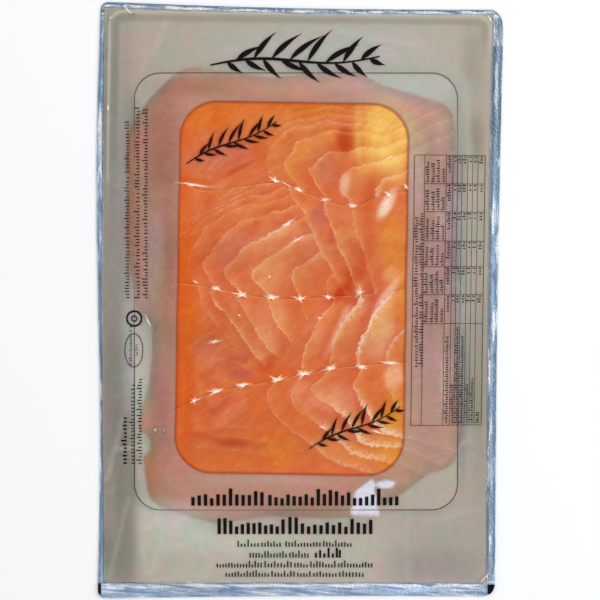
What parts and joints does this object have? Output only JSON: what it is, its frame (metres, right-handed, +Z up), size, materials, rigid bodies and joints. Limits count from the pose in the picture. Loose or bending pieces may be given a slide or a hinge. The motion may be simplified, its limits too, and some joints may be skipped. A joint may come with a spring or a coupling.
{
  "type": "vacuum pack of smoked salmon",
  "caption": "Flat vacuum pack of smoked salmon: overlapping slices on a board, sealed between a silver base film and a grey printed top film with a clear window.",
  "frame": {"origin": "on the table under the middle of the pack", "axes": "+Z up, out of the printed side; +Y along the pack, from its foot to its head; +X to the right of someone who reads it"},
  "size_m": [0.2042, 0.2993, 0.0092],
  "materials": {
    "silver_film": "satin",
    "board": "matte",
    "salmon": "satin",
    "top_film": "gloss",
    "grey_ink": "satin",
    "dark_ink": "satin"
  },
  "bodies": {
    "root": {"base_film": "silver_film", "inner_board": "board", "salmon_slice_1": "salmon", "salmon_slice_2": "salmon", "salmon_slice_3": "salmon", "salmon_slice_4": "salmon", "printed_film": "top_film"}
  },
  "joints": []
}
